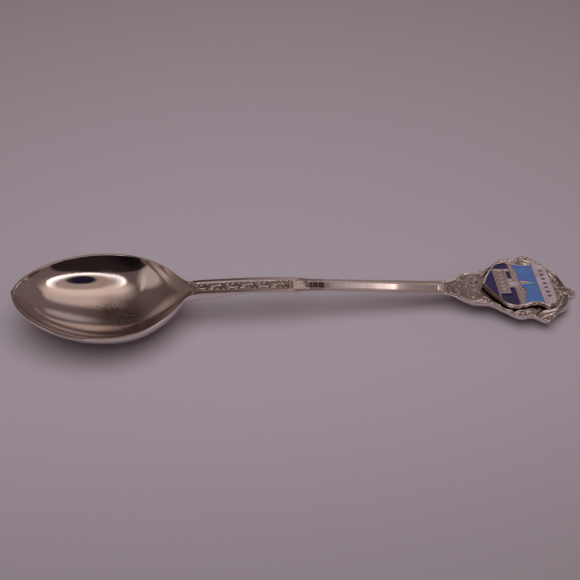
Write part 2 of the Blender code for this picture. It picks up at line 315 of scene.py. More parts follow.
def finial_strokes():
    """Each scroll as (points, half width, height, taper). Beside the crest the far side repeats the near."""
    near_stem = [
        # near the stem: the pierced-looking loop and the scrolls that spring from it
        ([(28.6, -1.4), (29.4, -1.6), (30.1, -1.75)], 0.24, 0.34, 0.4),
        ([(27.4, 0.9), (28.6, 0.75), (29.3, -0.1), (29.9, -1.5)], 0.3, 0.5, 0.2),
        ([(27.2, 0.6), (27.5, -0.5), (28.3, -1.3), (29.7, -1.75)], 0.28, 0.5, 0.2),
        ([(30.3, 0.7), (31.0, -0.3), (31.5, -1.6), (31.7, -2.8)], 0.22, 0.4, 0.3),
        ([(31.7, -2.8), (30.8, -2.15), (30.0, -1.7)], 0.18, 0.34, 0.3),
        ([(31.7, -3.0), (32.85, -3.65), (33.9, -4.0), (34.9, -3.8), (35.8, -3.45), (36.3, -3.85),
          (37.1, -3.5)], 0.3, 0.34, 0.3),
        ([(33.6, -1.5), (33.25, -2.3), (33.7, -2.85), (34.5, -2.7)], 0.22, 0.3, 0.5),
        ([(34.2, -0.7), (35.1, -1.0), (35.9, -1.6)], 0.22, 0.3, 0.5),
    ]
    beside_crest = [
        ([(36.2, -2.6), (37.3, -3.2), (38.2, -4.3), (39.3, -5.1)], 0.35, 0.32, 0.5),
        # the long edge bar beside the crest, doubled
        ([(37.0, -4.35), (38.1, -5.15), (38.95, -5.85), (39.6, -6.5), (40.4, -6.7)], 0.26, 0.42, 0.3),
        ([(38.0, -4.6), (39.2, -5.5), (40.4, -6.2), (41.4, -6.5)], 0.2, 0.3, 0.5),
        # the rosette's arc and the scrolls beyond it
        ([(41.6, -7.1), (42.5, -6.7), (43.4, -6.55), (44.4, -6.7), (45.2, -7.1), (45.4, -7.7)],
         0.24, 0.4, 0.3),
        ([(45.9, -8.6), (46.6, -7.55), (48.05, -6.75), (49.5, -6.45), (50.9, -6.1)], 0.26, 0.4, 0.4),
        ([(46.9, -8.45), (48.3, -7.75), (49.6, -7.3), (50.7, -6.9)], 0.22, 0.34, 0.4),
        ([(51.0, -5.6), (51.9, -4.6), (52.6, -3.6), (53.2, -2.5)], 0.32, 0.4, 0.4),
        ([(50.9, -4.7), (51.7, -3.7), (52.4, -2.5), (52.7, -1.4)], 0.24, 0.34, 0.4),
        ([(52.7, -1.2), (53.3, -1.6), (53.6, -2.3)], 0.2, 0.3, 0.4),
        ([(51.6, -1.9), (52.5, -0.6), (52.9, 0.0)], 0.22, 0.3, 0.4),
        # the flame at the tip
        ([(53.0, -0.5), (54.2, -0.75), (55.2, -0.45), (56.5, 0.0)], 0.26, 0.36, 0.4),
    ]
    far = [
        ([(34.35, 3.0), (34.9, 3.1), (35.9, 3.1), (36.7, 3.7), (37.0, 4.2)], 0.2, 0.34, 0.4),
        ([(33.9, 2.4), (34.6, 2.55), (35.9, 2.5), (36.9, 2.9)], 0.2, 0.3, 0.4),
        ([(32.3, 2.25), (33.4, 1.6), (34.4, 1.24), (35.25, 1.3), (36.0, 1.77)], 0.24, 0.36, 0.5),
        ([(31.2, 1.2), (31.9, 1.9), (32.6, 2.9)], 0.2, 0.26, 0.5),
    ]
    repeated = [(mirrored(points), *rest) for points, *rest in beside_crest]
    return near_stem + beside_crest + far + repeated


def finial_beads():
    """Beads as (place, radius, height)."""
    near = [((39.6, -7.35), 0.36, 0.34), ((40.75, -7.85), 0.38, 0.34), ((41.75, -8.1), 0.36, 0.34),
            ((42.6, -8.1), 0.34, 0.34), ((43.4, -8.05), 0.34, 0.36), ((44.25, -8.0), 0.42, 0.46),
            ((43.3, -7.35), 0.4, 0.36), ((44.2, -7.3), 0.3, 0.3), ((42.3, -7.35), 0.28, 0.3),
            ((46.35, -8.75), 0.36, 0.34), ((47.45, -8.95), 0.38, 0.36), ((48.55, -8.35), 0.36, 0.34),
            ((49.6, -7.85), 0.32, 0.32), ((51.1, -6.4), 0.3, 0.3)]
    repeated = [((x, -y), radius, height) for (x, y), radius, height in near]
    by_stem = [((33.26, 0.05), 0.42, 0.4), ((35.15, -0.55), 0.34, 0.34), ((31.95, 0.5), 0.3, 0.26)]
    return near + repeated + by_stem


# Deep, dark eyes between the scrolls, as (middle, radius)
FINIAL_PITS = [
    ((28.4, -0.35), 0.42), ((30.65, -1.15), 0.4), ((35.2, 0.6), 0.34), ((38.6, 3.4), 0.3),
    ((33.2, -1.2), 0.3),
]


def finial_field(x, y, v):
    """The finial: grained ground, scrolls and beads over it, and a raised line round the edge."""
    height = 0.045 * grain(x, y, 0.75, 1.1)
    for points, width, tall, taper in finial_strokes():
        rise, nick = ridge(x, y, points, STROKE_SCALE * width, STROKE_SCALE * tall, taper)
        height = np.maximum(height - nick, rise)
    for middle, radius, rise in finial_beads():
        height = np.maximum(height, bead(x, y, middle, radius, rise))
    for middle, radius in FINIAL_PITS:
        pit = 1 - smoothstep(0.6, 1.0, np.hypot(x - middle[0], (y - middle[1]) / 1.4) / radius)
        height = height * (1 - pit) - pit * PIT_DEPTH
    from_edge = (1 - np.abs(v)) * half_width(x)
    border = 0.3 * np.exp(-(((from_edge - 0.28) / 0.2) ** 2))
    return np.maximum(height, border) - FINIAL_SINK


def relief(x, y, v):
    """Height of everything struck into the top face, and how much of it lies in a recess, 0 to 1."""
    ornament = window(ORNAMENT_X - 1.0, SHELL_END_X - 2.2, 1.4, x)
    shelled = window(SHELL_END_X - 4.2, SHELL_END_X + 0.4, 0.5, x)
    plain = window(SHELL_END_X - 0.3, STEM_END_X - 1.4, 0.8, x)
    stipple = window(STEM_END_X - 1.9, STEM_END_X, 0.6, x) * (1 - smoothstep(0.75, 0.9, np.abs(v)))
    finial = window(STEM_END_X - 1.1, HALF + 1.0, 0.6, x)
    height = ornament * (1 - shelled) * stem_field(x, y) + shelled * shell(x, y)
    height = height + plain * channel(y) + stipple * 0.07 * grain(x, y, 0.7, 2.2)
    height = height + finial * finial_field(x, y, v)
    struck = np.clip(ornament * (np.abs(y) < FIELD_HALF + 0.1) + shelled + finial, 0, 1)
    recess = struck * np.where(x < STEM_END_X - 1, 0.65, 1.0) * (1 - smoothstep(-0.27, -0.03, height))
    return height, recess


# ---- the spoon's mesh
def top_points(x, v):
    """The grid of points over the top face, and the recess value at each. x is a column, v a row."""
    toward_middle = RIM_WIDTH * np.clip((BOWL_WIDE_X - x) / (BOWL_WIDE_X + HALF), 0, 1)
    y = (half_width(x) - rim_inset(x)) * v
    flat_x = x + 0 * v
    height, recess = relief(flat_x, y, v)
    z = curve_through(SPINE, x) - inside_depth(x) * bowl_section(v) - RIM_ARCH * in_bowl(x) + height
    return np.stack([flat_x + toward_middle, y, z], axis=-1), recess


def under_points(x, v):
    in_finial = smoothstep(STEM_END_X, FINIAL_X, x)
    top = curve_through(SPINE, x)
    depth = bowl_depth(x) + BOWL_WALL * smoothstep(0.0, 3.0, half_width(x)) - RIM_DROP
    bowl = top - RIM_DROP * smoothstep(0.0, 1.0, half_width(x)) - depth * bowl_section(v)
    belly = STEM_BELLY * (1 - v * v) * (1 - in_finial)
    side = STEM_SIDE + (FINIAL_SIDE - STEM_SIDE) * in_finial
    side = side + (NECK_SIDE - STEM_SIDE) * (1 - smoothstep(BOWL_NECK_X, NECK_SIDE_END_X, x))
    narrow = 1 - UNDER_INSET * (1 - in_bowl(x)) * (1 - 0.7 * in_finial)
    z = in_bowl(x) * bowl + (1 - in_bowl(x)) * (top - side - belly)
    return np.stack([x + 0 * v, half_width(x) * narrow * v, np.maximum(z, 0.0)], axis=-1)


def spoon_runs():
    """Places along the length, in runs that share a number of columns across the top."""
    tip = BOWL_WIDE_X - (BOWL_WIDE_X + HALF) * np.cos(np.linspace(0, math.pi / 2, 90))
    end = HALF - 2.0 * (1 - np.sin(np.linspace(0, math.pi / 2, 24)))
    return [
        (tip[:-1], BOWL_COLUMNS),
        (np.linspace(BOWL_WIDE_X, ORNAMENT_X - 1.5, 84)[:-1], BOWL_COLUMNS),
        (np.linspace(ORNAMENT_X - 1.5, SHELL_END_X + 0.5, 235)[:-1], STEM_COLUMNS),
        (np.linspace(SHELL_END_X + 0.5, FINE_X, 110)[:-1], STEM_COLUMNS),
        (np.linspace(FINE_X, HALF - 2.0, 238)[:-1], FINIAL_COLUMNS),
        (end, FINIAL_COLUMNS),
    ]


def bend(start, corner, end):
    """The points between start and end of a curve that turns at the corner."""
    for t in np.linspace(0, 1, RIM_STEPS + 1)[1:-1]:
        yield (1 - t) ** 2 * start + 2 * t * (1 - t) * corner + t * t * end


def run_loops(xs, columns):
    """Closed loops of points round the spoon, one a row: top, far edge, underside, near edge."""
    x = xs[:, None]
    across = np.linspace(-1, 1, columns + 1)
    across[1], across[-2] = -CREASE_V, CREASE_V
    top, recess = top_points(x, across)
    under = under_points(x, np.linspace(1, -1, UNDER_COLUMNS + 1))
    rim_height = in_bowl(xs) * curve_through(SPINE, xs)
    far = np.stack([xs, half_width(xs), rim_height + (1 - in_bowl(xs)) * top[:, -1, 2]], axis=-1)
    near = np.stack([xs, -half_width(xs), rim_height + (1 - in_bowl(xs)) * top[:, 0, 2]], axis=-1)
    far_edge = np.stack(list(bend(top[:, -1], far, under[:, 0])), axis=1)
    near_edge = np.stack(list(bend(under[:, -1], near, top[:, 0])), axis=1)
    points = np.concatenate([top, far_edge, under, near_edge], axis=1)
    shade = np.zeros(points.shape[:2])
    shade[:, : columns + 1] = recess
    return points, shade


def loop_numbers(rows, first=0):
    """The vertex numbers of each row of points, counted from first."""
    count = rows.shape[1]
    return [range(first + n * count, first + (n + 1) * count) for n in range(len(rows))]


def skin(loops, top_counts):
    """Faces between neighbouring loops. Where the top has more columns on one side, a fan joins them."""
    faces = []
    for a, b, count_a, count_b in zip(loops, loops[1:], top_counts, top_counts[1:]):
        columns_a, columns_b = count_a - 1, count_b - 1
        coarse = min(columns_a, columns_b)
        for j in range(coarse):
            step_a, step_b = columns_a // coarse, columns_b // coarse
            low = [a[j * step_a + k] for k in range(step_a + 1)]
            high = [b[j * step_b + k] for k in range(step_b + 1)]
            faces.append(tuple([low[0]] + high + low[:0:-1]))
        rest_a = list(a[count_a - 1:]) + [a[0]]
        rest_b = list(b[count_b - 1:]) + [b[0]]
        for a0, a1, b0, b1 in zip(rest_a, rest_a[1:], rest_b, rest_b[1:]):
            faces.append((a0, b0, b1, a1))
    return faces


def mesh_from(name, points, faces, recess=None, weld=1e-6):
    mesh = bpy.data.meshes.new(name)
    mesh.from_pydata([tuple(p) for p in points * MM], [], faces)
    if recess is not None:
        mesh.attributes.new("recess", "FLOAT", "POINT").data.foreach_set("value", recess.astype(np.float32))
    shape = bmesh.new()
    shape.from_mesh(mesh)
    bmesh.ops.remove_doubles(shape, verts=shape.verts, dist=weld)
    bmesh.ops.dissolve_degenerate(shape, edges=shape.edges, dist=1e-8)
    shape.to_mesh(mesh)
    shape.free()
    mesh.shade_smooth()
    return mesh


def add_object(name, data):
    added = bpy.data.objects.new(name, data)
    bpy.context.scene.collection.objects.link(added)
    return added


def add_piece(name, mesh, material, slot, *nodes):
    """A piece that rides on the spoon's one body and stands for the named CAD nodes."""
    piece = add_object(name, mesh)
    mesh.materials.append(material)
    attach(piece, "root")
    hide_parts(*nodes)


def make_spoon(material):
    points, shades, loops, counts = [], [], [], []
    total = 0
    for xs, columns in spoon_runs():
        rows, shade = run_loops(xs, columns)
        points.append(rows.reshape(-1, 3))
        shades.append(shade.reshape(-1))
        loops += loop_numbers(rows, total)
        counts += [columns + 1] * len(xs)
        total += rows.shape[0] * rows.shape[1]
    mesh = mesh_from("spoon", np.vstack(points), skin(loops, counts), np.concatenate(shades))
    add_piece("spoon", mesh, material, "plated_metal", "spoon_stamping")


# ---- the crest, as in the CAD: u runs from the shield's foot to its top, v across it towards +Y
CREST_X = 36.75
CREST_Z = 5.18
CREST_PITCH = math.radians(4.23)
CREST_LENGTH = 14.7
CREST_THICKNESS = 0.95
CREST_RIM = 0.42
CELL_DEPTH = 0.4
ENAMEL_BELOW_RIM = 0.05
ENAMEL_DIP = 0.04
ENAMEL_OVERLAP = 0.12
ENAMEL_THICKNESS = 0.28
PAN_WALL_LEVELS = (-0.16, -0.3, -0.85)
PAN_BACK_SCALE = 0.97
SOLDER_SCALE = 0.62
SOLDER_THICKNESS = 0.2
SOLDER_GAP = 0.02
SOLDER_BULGE = 1.06
SOLDER_FOOT = 1.1
SHARP_EDGE = math.radians(50)
HORIZON_U = 6.2
BANNER_U = 11.7
CLOISON = 0.3
LOZENGES = 7
LOZENGE_ROW = 7.2
LOZENGE_TALL = 1.4
LOZENGE_WIDE = 0.68
SPIRE_U = 10.7
SPIRE_V = 0.2
BLOCK = (2.65, 5.5, -2.9, 4.2)  # the gatehouse's lowest and highest u, and its nearest and farthest v
WINDOWS = 6
WINDOW_HALF = 0.25
CREST_ROWS = 150
CREST_COLUMNS = 132

# Half width of the shield from its foot to its top, as (u, half width)
SHIELD_EDGE = [
    (0.0, 0.0), (1.0, 1.95), (2.5, 4.3), (4.0, 5.85), (5.6, 6.35), (7.4, 6.0), (9.1, 5.45), (10.6, 5.45),
    (11.9, 6.2), (12.4, 6.4), (13.0, 5.85), (14.6, 4.55), (CREST_LENGTH, 4.0),
]


def crest_to_world(u, v, w):
    """From the crest's own plane, where w is the height over its top face, to the model's frame."""
    x = CREST_X + u * math.cos(CREST_PITCH) + w * math.sin(CREST_PITCH)
    z = CREST_Z - u * math.sin(CREST_PITCH) + w * math.cos(CREST_PITCH)
    return np.stack([x, v + 0 * u, z], axis=-1)


def shield_half_width(u):
    return curve_through(SHIELD_EDGE, u)


def inside_shield(u, v):
    """Distance in from the shield's outline."""
    us = np.linspace(0, CREST_LENGTH, 90)
    half = np.stack([us, shield_half_width(us)], axis=-1)
    outline = np.vstack([half, [[CREST_LENGTH, -SHIELD_EDGE[-1][1]]]])
    distance, _ = near_line(u, np.abs(v), outline)
    return distance


def inside_polygon(polygon, u, v):
    """Distance in from the polygon's edge, negative outside it."""
    line = np.array(polygon + [polygon[0]], float)
    distance, _ = near_line(u, v, line)
    crossings = np.zeros(u.shape, int)
    for (au, av), (bu, bv) in zip(line, line[1:]):
        spans = (av > v) != (bv > v)
        meets = au + (v - av) / np.where(bv == av, 1.0, bv - av) * (bu - au)
        crossings += spans & (u < meets)
    return np.where(crossings % 2 == 1, distance, -distance)


def skyline():
    """The top of the metal hills, with a spire in the middle, as (u, v) from the far side to the near."""
    hills = [(7.2, 7.5), (7.6, 4.2), (8.0, 2.2), (7.8, 1.1)]
    spire = [(8.0, 0.75), (SPIRE_U, SPIRE_V), (8.0, -0.45)]
    dome = [(8.2, -1.0), (8.9, -1.9), (8.3, -3.2), (7.2, -7.5)]
    return hills + spire + dome


def cells():
    """Each enamel cell's outline before the rim trims it, and the colour that fills it."""
    far, near, past_top = 7.5, -7.5, CREST_LENGTH + 1
    top, spire_near = BANNER_U - CLOISON, SPIRE_V - CLOISON
    low, high, block_near, block_far = BLOCK
    hills = skyline()
    spire_tip = hills.index((SPIRE_U, SPIRE_V))
    return {
        "enamel_field_foot": ([(-1, near), (-1, far), (low, far), (low, near)], "navy"),
        "enamel_field_far": (
            [(2.95, far), (2.95, block_far), (HORIZON_U, block_far), (HORIZON_U, far)], "navy"
        ),
        "enamel_field_court": ([(high, 3.35), (high, 1.3), (HORIZON_U, 1.3), (HORIZON_U, 3.35)], "navy"),
        "enamel_field_near": (
            [(5.3, -1.2), (5.3, block_near), (2.95, block_near), (2.95, near), (HORIZON_U, near),
             (HORIZON_U, -1.2)],
            "navy",
        ),
        "enamel_tower": ([(5.45, 0.35), (5.45, -0.75), (7.2, -0.75), (7.2, 0.35)], "white"),
        "enamel_sky_far": ([(top, far)] + hills[: spire_tip + 1] + [(top, SPIRE_V)], "sky"),
        "enamel_sky_near": (
            [(top, spire_near), (SPIRE_U, spire_near)] + hills[spire_tip + 1:] + [(top, near)], "sky"
        ),
        "enamel_banner": ([(BANNER_U, far), (BANNER_U, near), (past_top, near), (past_top, far)], "white"),
    }


def banner_lozenges():
    """The row of plain lozenges standing in the banner."""
    tall, wide = LOZENGE_TALL / 2, LOZENGE_WIDE / 2
    middle = (BANNER_U + CREST_LENGTH - CREST_RIM) / 2
    for v in np.linspace(-LOZENGE_ROW / 2, LOZENGE_ROW / 2, LOZENGES):
        yield [(middle - tall, v), (middle, v - wide), (middle + tall, v), (middle, v + wide)]


def cell_inside(name, u, v, from_edge):
    """Distance in from the walls of one enamel cell, negative in the metal."""
    outline, _ = cells()[name]
    inside = np.minimum(inside_polygon(outline, u, v), from_edge - CREST_RIM)
    if name == "enamel_banner":
        for lozenge in banner_lozenges():
            inside = np.minimum(inside, -inside_polygon(lozenge, u, v))
    return inside


def crest_grid():
    us = np.concatenate([np.linspace(0, 0.3, 8)[:-1], np.linspace(0.3, CREST_LENGTH, CREST_ROWS)])
    v = shield_half_width(us)[:, None] * np.linspace(-1, 1, CREST_COLUMNS + 1)
    return us[:, None] + 0 * v, v


def crest_picture(u, v):
    """What is struck into the metal lands: the gatehouse's lines and windows, and the hills' grain."""
    low, high, near, far = BLOCK
    in_block = inside_polygon([(low, near), (low, far), (high, far), (high, near)], u, v)
    panel = smoothstep(0.3, 0.42, in_block)
    height = -0.12 * panel + 0.02 * grain(u, v, 0.6, 3.0) * panel
    middle = (low + high) / 2
    for place in np.linspace(near + 1.0, far - 1.0, WINDOWS):
        left, right = place - WINDOW_HALF, place + WINDOW_HALF
        opening = [(middle - 0.5, left), (middle - 0.5, right), (middle + 0.35, right),
                   (middle + 0.6, place), (middle + 0.35, left)]
        height = height - 0.1 * smoothstep(-0.03, 0.08, inside_polygon(opening, u, v))
    height = height + ridge(u, v, [(high - 0.55, near + 0.4), (high - 0.55, far - 0.4)], 0.1, 0.08)[0]
    hills = [(HORIZON_U, 7.5), *skyline(), (HORIZON_U, -7.5)]
    in_hills = smoothstep(0.12, 0.24, inside_polygon(hills, u, v))
    return height - in_hills * (0.08 + 0.025 * grain(u, v, 0.8, 5.0))


def crest_top(u, v):
    """Height of the pan's top face, and how much of it lies in a recess."""
    from_edge = inside_shield(u, v)
    height = np.minimum(crest_picture(u, v), 0.0)
    on_rim = 1 - smoothstep(CREST_RIM - 0.05, CREST_RIM + 0.04, from_edge)
    across_rim = np.clip(2 * from_edge / CREST_RIM - 1, -1, 1)
    rim = -0.17 * (np.sqrt(across_rim**2 + 0.04) - 0.2)
    height = on_rim * rim + (1 - on_rim) * height
    for name in cells():
        height = height - CELL_DEPTH * smoothstep(-0.05, 0.04, cell_inside(name, u, v, from_edge))
    height = np.maximum(height, -CELL_DEPTH)
    recess = 0.3 * (1 - on_rim) * (1 - smoothstep(-0.16, -0.06, height))
    for lozenge in banner_lozenges():
        recess = np.maximum(recess, smoothstep(0.0, 0.06, inside_polygon(lozenge, u, v)))
    return height, recess


def make_pan(material):
    u, v = crest_grid()
    height, recess = crest_top(u, v)
    top = crest_to_world(u, v, height)
    under_v = shield_half_width(u[:, 0])[:, None] * np.linspace(1, -1, UNDER_COLUMNS + 1)
    under_u = u[:, :1] + 0 * under_v
    under = crest_to_world(under_u, PAN_BACK_SCALE * under_v, -CREST_THICKNESS + 0 * under_u)
    half = shield_half_width(u[:, 0])
    walls = []
    for side, levels in ((1, PAN_WALL_LEVELS), (-1, PAN_WALL_LEVELS[::-1])):
        lines = [crest_to_world(u[:, 0], side * half, level + 0 * half) for level in levels]
        walls.append(np.stack(lines, axis=1))
    points = np.concatenate([top, walls[0], under, walls[1]], axis=1)
    shade = np.zeros(points.shape[:2])
    shade[:, : recess.shape[1]] = recess
    loops = loop_numbers(points)
    faces = skin(loops, [CREST_COLUMNS + 1] * len(loops))
    faces.append(tuple(reversed(loops[-1])))
    mesh = mesh_from("crest_pan", points.reshape(-1, 3), faces, shade.reshape(-1))
    mesh.set_sharp_from_angle(angle=SHARP_EDGE)
    add_piece("crest_pan", mesh, material, "crest_metal", "crest_shield")


def make_enamels(materials):
    """Each enamel reaches a little way into the metal, so that its own edge never shows."""
    u, v = crest_grid()
    from_edge = inside_shield(u, v)
    columns = u.shape[1]
    for name, (_, colour) in cells().items():
        inside = cell_inside(name, u, v, from_edge)
        surface = -ENAMEL_BELOW_RIM - ENAMEL_DIP * smoothstep(0.0, 0.5, inside)
        points = crest_to_world(u, v, surface).reshape(-1, 3)
        kept = (inside > -ENAMEL_OVERLAP).reshape(-1)
        faces = []
        for row in range(u.shape[0] - 1):
            for column in range(columns - 1):
                a = row * columns + column
                face = (a, a + columns, a + columns + 1, a + 1)
                if all(kept[corner] for corner in face):
                    faces.append(face)
        used = sorted({corner for face in faces for corner in face})
        number = {corner: index for index, corner in enumerate(used)}
        faces = [tuple(number[corner] for corner in face) for face in faces]
        mesh = solid_from(name, points[used], faces, ENAMEL_THICKNESS)
        add_piece(name + "_glass", mesh, materials[colour], "enamel_" + colour, name)


def solid_from(name, points, faces, thickness):
    """A sheet of faces made into a closed slab, thickened downwards."""
    mesh = mesh_from(name, points, faces)
    shape = bmesh.new()
    shape.from_mesh(mesh)
    sheet = list(shape.faces)
    lower = bmesh.ops.extrude_face_region(shape, geom=sheet, use_keep_orig=True)["geom"]
    moved = [part for part in lower if isinstance(part, bmesh.types.BMVert)]
    bmesh.ops.translate(shape, vec=(0, 0, -thickness * MM), verts=moved)
    bmesh.ops.recalc_face_normals(shape, faces=shape.faces)
    shape.to_mesh(mesh)
    shape.free()
    mesh.shade_smooth()
    mesh.set_sharp_from_angle(angle=SHARP_EDGE)
    return mesh


def make_solder(material):
    """The flowed pad between the crest and its seat, bulging a little at its edge."""
    middle = CREST_LENGTH / 2
    us = np.linspace(0.04, CREST_LENGTH, 60)
    top = -CREST_THICKNESS - SOLDER_GAP
    bulge_level = top - 0.4 * SOLDER_THICKNESS
    half = shield_half_width(us) * SOLDER_SCALE
    half = half * (1 + 0.05 * grain(us, 0 * us, 3.0, 0.2))
    placed = middle + (us - middle) * SOLDER_SCALE
    across = np.linspace(-1, 1, 13)
    grid_u = placed[:, None] + 0 * across
    upper = crest_to_world(grid_u, half[:, None] * across, top + 0 * grid_u)
    lower_v = half[:, None] * across[::-1] * SOLDER_FOOT
    lower = crest_to_world(grid_u, lower_v, top - SOLDER_THICKNESS + 0 * grid_u)
    sides = []
    for side in (1, -1):
        line = crest_to_world(placed, side * half * SOLDER_BULGE, bulge_level + 0 * half)
        sides.append(line[:, None])
    points = np.concatenate([upper, sides[0], lower, sides[1]], axis=1)
    loops = loop_numbers(points)
    faces = skin(loops, [len(across)] * len(loops))
    faces.append(tuple(reversed(loops[-1])))
    faces.append(tuple(loops[0]))
    mesh = mesh_from("solder_pad", points.reshape(-1, 3), faces)
    add_piece("solder_pad", mesh, material, "solder", "crest_solder")


# ---- materials
def new_material(name):
    material = bpy.data.materials.new(name)
    material.use_nodes = True
    tree = material.node_tree
    return material, tree, tree.nodes["Principled BSDF"]


def add_node(tree, kind, settings=None, **inputs):
    """A node with its settings and inputs given."""
    node = tree.nodes.new(kind)
    for name, value in (settings or {}).items():
        setattr(node, name, value)
    return feed(tree, node, inputs)


def feed(tree, node, inputs):
    """Give a node its inputs, each by name or as i and its number. Another node's socket is linked."""
    for name, value in inputs.items():
        socket = node.inputs[int(name[1:])] if name[0] == "i" and name[1:].isdigit() else node.inputs[name]
        if isinstance(value, bpy.types.NodeSocket):
            tree.links.new(value, socket)
        else:
            socket.default_value = value
    return node


def position(tree, scale=(1, 1, 1)):
    """The place on the object in metres, stretched by scale."""
    coordinates = add_node(tree, "ShaderNodeTexCoord").outputs["Object"]
    return add_node(tree, "ShaderNodeMapping", Vector=coordinates, Scale=scale).outputs["Vector"]


def noise(tree, vector, scale, detail=3.0, roughness=0.5):
    return add_node(tree, "ShaderNodeTexNoise", Vector=vector, Scale=scale, Detail=detail,
                    Roughness=roughness).outputs["Fac"]


def ramp(tree, value, low, high, at_low=0.0, at_high=1.0):
    node = add_node(tree, "ShaderNodeMapRange", {"interpolation_type": "SMOOTHSTEP"}, Value=value)
    limits = {"From Min": low, "From Max": high, "To Min": at_low, "To Max": at_high}
    return feed(tree, node, limits).outputs["Result"]


def math_node(tree, operation, *values):
    inputs = {f"i{number}": value for number, value in enumerate(values)}
    return add_node(tree, "ShaderNodeMath", {"operation": operation}, **inputs).outputs["Value"]


def times(tree, a, b):
    return math_node(tree, "MULTIPLY", a, b)


def mix(tree, share, a, b):
    """Between two colours, each a socket or a plain colour."""
    a, b = ((*value, 1.0) if isinstance(value, tuple) else value for value in (a, b))
    return add_node(tree, "ShaderNodeMix", {"data_type": "RGBA"}, i0=share, i6=a, i7=b).outputs[2]


def bump(tree, height, distance, strength=1.0, after=None):
    node = add_node(tree, "ShaderNodeBump", Height=height, Distance=distance, Strength=strength)
    if after:
        tree.links.new(after, node.inputs["Normal"])
    return node.outputs["Normal"]


SILVER = (0.8, 0.75, 0.73)
SILVER_WARM = (0.74, 0.66, 0.62)
# The dark plate colour: tarnish in the hollows and stains, and also the painted dark reflection on the
# channel floor
TARNISH_AND_PAINTED_REFLECTION = (0.2, 0.148, 0.134)
# Where the plate has stained, as (middle, radius, strength), and where its polish has gone dull
STAINS = [
    ((-35.5, -1.0, 1.2), 6.6, 0.9),
    ((-39.0, 2.0, 1.4), 4.2, 0.8),
    ((-31.0, -3.5, 2.6), 4.8, 0.85),
    ((-26.5, 3.0, 4.0), 3.4, 0.6),
    ((-42.0, -9.0, 4.5), 4.4, 0.6),
]
DULL_NECK = ((-25.0, 3.0, 7.5), 5.5)


def near_place(tree, middle, radius):
    """1 at the middle of a stained patch, fading to 0 at its radius."""
    coordinates = add_node(tree, "ShaderNodeTexCoord").outputs["Object"]
    away = add_node(tree, "ShaderNodeVectorMath", {"operation": "DISTANCE"}, i0=coordinates,
                    i1=tuple(part * MM for part in middle)).outputs["Value"]
    return ramp(tree, away, 0.25 * radius * MM, radius * MM, 1.0, 0.0)


def stained(tree):
    """Brown specks, thick where the plate has stained and sparse elsewhere."""
    specks = noise(tree, position(tree), 2300.0, 2.5)
    share = ramp(tree, noise(tree, position(tree), 1500.0, 1.0), 0.74, 0.78, 0.0, 0.6)
    for middle, radius, strength in STAINS:
        here = times(tree, near_place(tree, middle, radius), strength)
        level = math_node(tree, "MULTIPLY_ADD", here, -0.22, 0.66)
        spots = ramp(tree, math_node(tree, "SUBTRACT", specks, level), 0.0, 0.08)
        spots = times(tree, times(tree, spots, here), 0.8)
        haze = times(tree, here, 0.3)
        share = math_node(tree, "MAXIMUM", share, math_node(tree, "MAXIMUM", spots, haze))
    return share


def in_channel(tree):
    """1 on the floor of the plain stem's channel, and the place along the stem."""
    parts = add_node(tree, "ShaderNodeSeparateXYZ", Vector=position(tree))
    along = parts.outputs["X"]
    started = ramp(tree, along, 0.4 * MM, 1.4 * MM)
    not_ended = ramp(tree, along, 26.5 * MM, 28.5 * MM, 1.0, 0.0)
    between = times(tree, started, not_ended)
    across = math_node(tree, "ABSOLUTE", parts.outputs["Y"])
    on_floor = ramp(tree, across, 0.7 * MM, 0.86 * MM, 1.0, 0.0)
    return times(tree, between, on_floor), along


def plated_metal(name):
    """Polished silver plate: dark in its recesses, stained in the bowl, ribbed along the plain channel, with
    a painted dark reflection on the channel floor by the shell.
    """
    material, tree, shader = new_material(name)
    smear = noise(tree, position(tree), 220.0, 4.0)
    cloud = noise(tree, position(tree), 90.0, 3.0)
    recess = add_node(tree, "ShaderNodeAttribute", {"attribute_name": "recess"}).outputs["Fac"]
    clean = mix(tree, ramp(tree, cloud, 0.4, 0.7), SILVER, SILVER_WARM)
    ribbed, along = in_channel(tree)
    ribs = noise(tree, position(tree, (1.0, 0.0, 0.0)), 3600.0, 1.5)
    # Painted dark reflection: dark blotches on the channel floor by the shell, and faint dark streaks along
    # its ribs, put into the plate's colour
    by_shell = ramp(tree, along, 3.6 * MM, 7.0 * MM, 1.0, 0.0)
    painted_dark_reflection = times(tree, by_shell, ramp(tree, ribs, 0.36, 0.52))
    painted_dark_reflection = math_node(tree, "MAXIMUM", painted_dark_reflection, ramp(tree, ribs, 0.35, 0.7, 0.25, 0.0))
    stain_and_painted_reflection = times(tree, recess, ramp(tree, smear, 0.25, 0.6, 0.6, 1.0))
    stain_and_painted_reflection = math_node(tree, "MAXIMUM", stain_and_painted_reflection, stained(tree))
    dull = near_place(tree, *DULL_NECK)
    stain_and_painted_reflection = math_node(tree, "MAXIMUM", stain_and_painted_reflection, times(tree, dull, 0.42))
    stain_and_painted_reflection = math_node(tree, "MAXIMUM", stain_and_painted_reflection, times(tree, painted_dark_reflection, ribbed))
    polish = ramp(tree, smear, 0.35, 0.75, 0.05, 0.13)
    rough = math_node(tree, "ADD", polish, times(tree, recess, 0.15))
    rough = math_node(tree, "MULTIPLY_ADD", dull, 0.25, rough)
    scratches = noise(tree, position(tree, (120.0, 2400.0, 2400.0)), 1.0, 2.0)
    fine = noise(tree, position(tree), 2600.0, 2.0)
    normal = bump(tree, scratches, 2e-6, 0.35)
    normal = bump(tree, times(tree, ribs, ribbed), 4e-6, 0.5, normal)
    feed(tree, shader, {
        "Base Color": mix(tree, stain_and_painted_reflection, clean, TARNISH_AND_PAINTED_REFLECTION),
        "Metallic": 1.0,
        "Roughness": rough,
        "Normal": bump(tree, fine, 6e-6, 0.4, normal),
    })
    return material


